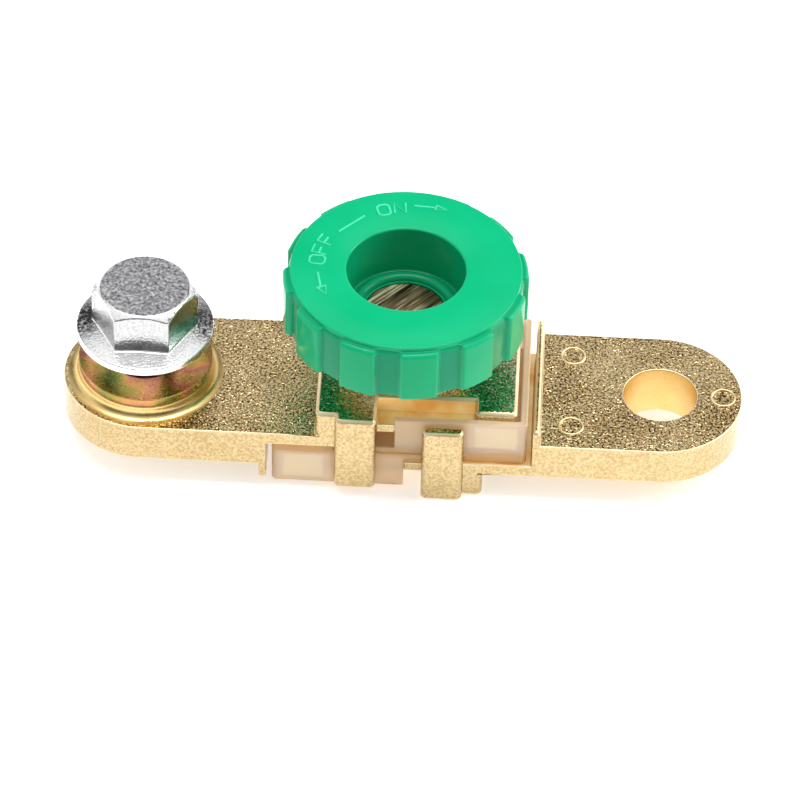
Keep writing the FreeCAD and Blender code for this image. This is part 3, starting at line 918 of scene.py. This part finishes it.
# %% Draw the valleys in
PADS = 12
VALLEY_AT = -66.0       # where one valley runs, in degrees
VALLEY_FLAT = 4.6       # half of its flat floor
VALLEY_SLOPE = 2.4      # each of its sides
VALLEY_DEPTH = 0.8
GRIP_FROM = 17.45       # the radius from which the grip is drawn in
GRIP_FADE = 0.5


def share_of(value, start, reach):
    """How far a value has come from start on its way over this reach, from 0 to 1."""
    return min(1.0, max(0.0, (value - start) / reach))


def valley_depth(degrees):
    """How far a place round the grip lies inside the pads, in millimetres."""
    pitch = 360 / PADS
    off = abs((degrees - VALLEY_AT + pitch / 2) % pitch - pitch / 2)
    share = share_of(off, VALLEY_FLAT, VALLEY_SLOPE)
    return VALLEY_DEPTH * (1 - share * share * (3 - 2 * share))


for vertex in knob.data.vertices:
    reach = math.hypot(vertex.co.x, vertex.co.y)
    share = share_of(reach / MM, GRIP_FROM, GRIP_FADE)
    if share > 0 and vertex.co.z < (SHOULDER + 0.05) * MM:
        depth = valley_depth(math.degrees(math.atan2(vertex.co.y, vertex.co.x)))
        vertex.co.xy *= 1 - share * depth * MM / reach
print("pads round the grip:", PADS)


# %% [markdown]
# ## The ribs under the knob
#
# A thick moulding would sink as it cools, so the grip is hollow below and stiffened by ribs. They
# could be cut out of a solid. Here one rib is shaped from a block, softened, copied round the
# axis and joined to the knob.


# %% Ribs under the knob
def make_ribs(count, inner, outer, thickness, low, high):
    """Upright ribs across the hollow under the knob, modelled once and copied round."""
    middle = ((inner + outer) / 2 * MM, 0, (low + high) / 2 * MM)
    bpy.ops.object.select_all(action="DESELECT")
    bpy.ops.mesh.primitive_cube_add(size=1, location=middle)
    rib = bpy.context.object
    rib.scale = ((outer - inner) * MM, thickness * MM, (high - low) * MM)
    settle(rib)
    soften(rib, 0.15 * MM, segments=2)
    turns = [Matrix.Rotation(2 * math.pi * i / count, 4, "Z") for i in range(1, count)]
    return [rib] + [copy_moved(rib, "rib_copy", turn) for turn in turns]


join(knob, make_ribs(count=8, inner=10.6, outer=15.8, thickness=1.6,
                     low=FOOT + 0.05, high=FOOT + 7.4))
dress(knob, "knob", "knob_and_screw", "green_plastic", green_plastic)

# %% [markdown]
# ## The collar in the recess
#
# Round the screw's head the moulding has a rounded collar with a groove outside it. It is a
# short section spun like the knob's, and it stays its own piece because it only rests on the web.

# %% Spin the collar
collar_section = [(6.35, FOOT + 0.95), (8.2, FOOT + 0.95),
                  *rounded(7.28, FOOT + 1.0, 0.86, 0, 180, 14)]
collar = spin_section("knob_collar", collar_section, steps=120)
dress(collar, None, "knob_and_screw", "green_plastic", green_plastic)

# %% [markdown]
# ## Raised lettering
#
# The cap carries ON and OFF with an arrow each, and a dash between them, as thin raised strokes
# that follow the ring. A font would give letters of uneven weight, while a mould maker engraves
# them with one round cutter. So each letter is a few strokes, drawn as a curve with a round
# bevel and sunk until only its crown stands above the cap.


# %% Letter strokes, in units of letter height, from the lower left corner
STROKES = {
    "O": [[(0.18, 0.0), (0.62, 0.0), (0.8, 0.18), (0.8, 0.82), (0.62, 1.0), (0.18, 1.0),
           (0.0, 0.82), (0.0, 0.18), (0.18, 0.0)]],
    "N": [[(0.0, 0.0), (0.0, 1.0), (0.75, 0.0), (0.75, 1.0)]],
    "F": [[(0.0, 0.0), (0.0, 1.0), (0.72, 1.0)], [(0.0, 0.52), (0.6, 0.52)]],
}
LETTER_HEIGHT = 2.3
LETTER_RING = 13.4
LETTERS = [("O", 175.2), ("F", 165.1), ("F", 155.0), ("O", 107.2), ("N", 96.3)]
SIGNS = [
    # the dash between the words
    [(-10.47, 7.53), (-6.77, 11.30)],
    # the arrow after ON, its shaft and its head
    [(0.55, 14.08), (3.86, 13.8)],
    [(4.0, 14.32), (5.61, 13.31), (3.72, 13.27), (4.0, 14.32)],
    # the arrow after OFF
    [(-13.11, -1.64), (-12.5, -4.75)],
    [(-13.05, -5.05), (-11.58, -6.39), (-11.76, -4.48), (-13.05, -5.05)],
]


def letter_points(letter, at):
    """The strokes of one letter, its foot towards the knob's axis, at an angle in degrees."""
    around = math.radians(at)
    outward = Vector((math.cos(around), math.sin(around)))
    along = Vector((math.sin(around), -math.cos(around)))
    for stroke in STROKES[letter]:
        yield [outward * (LETTER_RING + (v - 0.5) * LETTER_HEIGHT)
               + along * (u - 0.4) * LETTER_HEIGHT for u, v in stroke]


strokes = [stroke for letter, at in LETTERS for stroke in letter_points(letter, at)]
strokes.extend([Vector(place) for place in sign] for sign in SIGNS)
print("strokes of the lettering:", len(strokes))

# %% Draw the strokes and make them a mesh
STROKE_RADIUS = 0.2 * MM


def draw_strokes():
    """The lettering as one mesh, with its crown LETTER_RISE above the cap."""
    curve = bpy.data.curves.new("knob_lettering", "CURVE")
    curve.dimensions = "3D"
    curve.bevel_depth = STROKE_RADIUS
    curve.bevel_resolution = 3
    curve.use_fill_caps = True
    height = knob_top + LETTER_RISE - STROKE_RADIUS
    for stroke in strokes:
        spline = curve.splines.new("POLY")
        spline.points.add(len(stroke) - 1)
        for point, place in zip(spline.points, stroke):
            point.co = (place.x * MM, place.y * MM, height, 1)
    piece = bpy.data.objects.new("knob_lettering", curve)
    bpy.context.collection.objects.link(piece)
    only(piece)
    bpy.ops.object.convert(target="MESH")
    bpy.ops.object.shade_smooth_by_angle(angle=math.radians(50))
    return bpy.context.object


lettering = draw_strokes()
# The strokes take the paler green: a painted highlight on their crowns.
dress(lettering, None, "knob_and_screw", "green_plastic", highlit_green)

# %% [markdown]
# ## Screw and sleeve
#
# Only the screw's end face shows, in the recess, and it is ground while its sides are turned, so
# the face gets its own finish. The solids have the right shape, so they are softened and kept.

# %% Screw and sleeve
SCREW_RADIUS = 6.0
GROUND = 1
screw_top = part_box("contact_screw")[1].z
screw = copy_solid("contact_screw", "brass_screw")
cut_thread(screw, SCREW_RADIUS, low=6.1, high=11.3, depth=-0.75)
soften(screw, 0.12 * MM, segments=2, spare=on_thread(SCREW_RADIUS, 6.05, 11.35))
dress(screw, "contact_screw", "knob_and_screw", "turned_brass", turned_brass, ground_brass)
for face in screw.data.polygons:
    if face.center.z > screw_top - 0.15 * MM:
        face.material_index = GROUND

sleeve = copy_solid("neck_sleeve", "plastic_neck_sleeve")
soften(sleeve, 0.1 * MM, segments=2)
dress(sleeve, "neck_sleeve", "screw_sleeve", "sleeve_plastic", sleeve_plastic)

# %% [markdown]
# ## Washer and bolt
#
# The washer lies on the boss and the bolt stands in it. The bolt was pressed from wire: its top
# keeps the grain of the cut, its hexagon's sides take a darker copy of the zinc, painted shade, and
# the rest is bright. Its thread hardly shows, but a part on a shelf is looked at from below too.

# %% Washer and bolt
SHANK_RADIUS = 4.9
HEXAGON_FROM = 21.2 * MM
CROPPED, SHADED_SIDES = 1, 2
washer = copy_solid("washer", "passivated_washer")
soften(washer, 0.16 * MM, segments=3)
dress(washer, "washer", "switch_base", "yellow_passivate", yellow_passivate)

bolt_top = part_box("terminal_bolt")[1].z
bolt = copy_solid("terminal_bolt", "zinc_bolt")
cut_thread(bolt, SHANK_RADIUS, low=0.85, high=12.0, depth=-0.8, middle_x=-EYE_REACH)
soften(bolt, 0.22 * MM, segments=3, spare=on_thread(SHANK_RADIUS, 0.8, 12.1, -EYE_REACH))
dress(bolt, "terminal_bolt", "switch_base", "bright_zinc", bright_zinc, cropped_zinc, shaded_hex_zinc)
for face in bolt.data.polygons:
    if face.center.z > bolt_top - 0.02 * MM:
        face.material_index = CROPPED
    # The hexagon's upright sides take the darker copy: painted shade.
    elif abs(face.normal.z) < 0.2 and face.center.z > HEXAGON_FROM:
        face.material_index = SHADED_SIDES

# %% [markdown]
# ## Ejector marks
#
# The pins that push a casting out of its mould leave round marks with a thin raised rim. The
# marks are in the construction. Their rims could be pulled up out of the casting's own face, but
# a ring laid on it is plainer, so they are three fine rings on each casting, half sunk into it.

# %% Rims of the ejector marks
RIM_RADIUS = 1.78
RIM_THICKNESS = 0.17


def ring_marks(name, places, height):
    """Fine rings lying on a face at a height, one modelled and the others copied from it."""
    bpy.ops.object.select_all(action="DESELECT")
    bpy.ops.mesh.primitive_torus_add(major_radius=RIM_RADIUS * MM, minor_radius=RIM_THICKNESS * MM,
                                     major_segments=48, minor_segments=8)
    ring = bpy.context.object
    ring.name = name
    moves = [Matrix.Translation((x * MM, y * MM, height * MM)) for x, y in places]
    others = [copy_moved(ring, "rim_copy", move) for move in moves[1:]]
    ring.data.transform(moves[0])
    join(ring, others)
    bpy.ops.object.shade_smooth()
    return ring


marks_cable = ring_marks("ejector_rims_cable_side", MARKS, BAR_HIGH)
marks_bolt = ring_marks("ejector_rims_bolt_side", [(-x, y) for x, y in MARKS], BAR_LOW)
# The rims take the pale edge plate: a painted highlight.
for marks in (marks_cable, marks_bolt):
    dress(marks, None, "switch_base", "plated_casting", edge_painted_highlight)

# %% [markdown]
# ## The table
#
# The switch was photographed on a white table, lit so evenly that it is nearly without shadow. It
# could be lit by more lamps, but a faint glow of its own does the same and lifts the faces that
# look down on it. It lies a hair below the blocks, so that no two faces share one place.

# %% White table
TABLE_LOW = 0.03 * MM
TABLE_GLOW = 0.46


def make_table():
    """A wide white table, which isn't part of the object."""
    material, nodes, links, shader, place = new_finish("white_table")
    tone = add_noise(nodes, links, place, scale=6, detail=2)
    colour = add_ramp(nodes, links, tone, [(0.3, (0.90, 0.90, 0.90)), (0.7, (0.93, 0.93, 0.93))])
    links.new(colour, shader.inputs["Base Color"])
    shader.inputs["Roughness"].default_value = 0.6
    shader.inputs["Emission Color"].default_value = (1, 1, 1, 1)
    shader.inputs["Emission Strength"].default_value = TABLE_GLOW
    bpy.ops.object.select_all(action="DESELECT")
    bpy.ops.mesh.primitive_plane_add(size=6, location=(0, 0, -TABLE_LOW))
    table = bpy.context.object
    table.name = "table"
    table.data.materials.append(material)
    print("table under the object, glowing", TABLE_GLOW)


make_table()

# %% [markdown]
# ## The sky
#
# Round the table stands a white tent. Behind the object, above the table, it is open and dim, and
# that is what the level faces mirror: it is why they look dark and speckled while every front
# face is pale. The side of the camera is dusky. The tent could be modelled, but a sky that is
# white, dim or dusky by direction lights the same and renders faster.


# %% Sky with a dim band behind and a dusky front
def make_sky():
    """A white sky with a soft dim patch behind the object and a dusky one before it."""
    world = bpy.data.worlds.new("studio")
    bpy.context.scene.world = world
    world.use_nodes = True
    nodes, links = world.node_tree.nodes, world.node_tree.links
    direction = nodes.new("ShaderNodeTexCoord").outputs["Generated"]
    split = nodes.new("ShaderNodeSeparateXYZ")
    links.new(direction, split.inputs[0])
    black, white = (0.0, 0.0, 0.0), (1.0, 1.0, 1.0)
    dim, dusk = (0.05, 0.048, 0.044), (0.14, 0.14, 0.14)
    band = add_ramp(nodes, links, split.outputs["Z"],
                    [(0.42, white), (0.50, dim), (0.69, dim), (0.72, white)])
    ahead = add_ramp(nodes, links, split.outputs["Z"],
                     [(0.05, dusk), (0.55, dusk), (0.75, white)])
    behind = add_ramp(nodes, links, split.outputs["Y"], [(0.25, black), (0.42, white)])
    turned = add_maths(nodes, links, "MULTIPLY", split.outputs["Y"], -1.0)
    facing = add_ramp(nodes, links, turned, [(0.1, black), (0.5, white)])
    back = mix_colours(nodes, links, behind, white, band)
    links.new(mix_colours(nodes, links, facing, back, ahead), nodes["Background"].inputs["Color"])
    nodes["Background"].inputs["Strength"].default_value = 0.95
    print("sky", world.name)


make_sky()


# %% [markdown]
# ## Soft lights
#
# The knob's broad highlights need something brighter than the tent. A lamp would give a hard
# spot, so two area lights hang where the highlights ask for them: above and at the right.


# %% Soft lights
def add_softbox(name, place, target, size, power):
    """An area light of a size in metres, at a place, facing a target."""
    light = bpy.data.lights.new(name, "AREA")
    light.shape = "RECTANGLE"
    light.size, light.size_y = size
    light.energy = power
    box = bpy.data.objects.new(name, light)
    bpy.context.collection.objects.link(box)
    away = Vector(target) - Vector(place)
    turn = away.to_track_quat("-Z", "Y").to_matrix().to_4x4()
    box.matrix_world = Matrix.Translation(place) @ turn
    print("light", name, "of", power, "watts")


add_softbox("overhead", (0.0, 0.02, 0.95), (0, 0, 0), (0.7, 0.35), 6.0)
add_softbox("right_side", (0.8, 0.15, 0.5), (0, 0, 0.02), (0.5, 0.5), 4.0)
bpy.context.scene.view_settings.view_transform = "Standard"
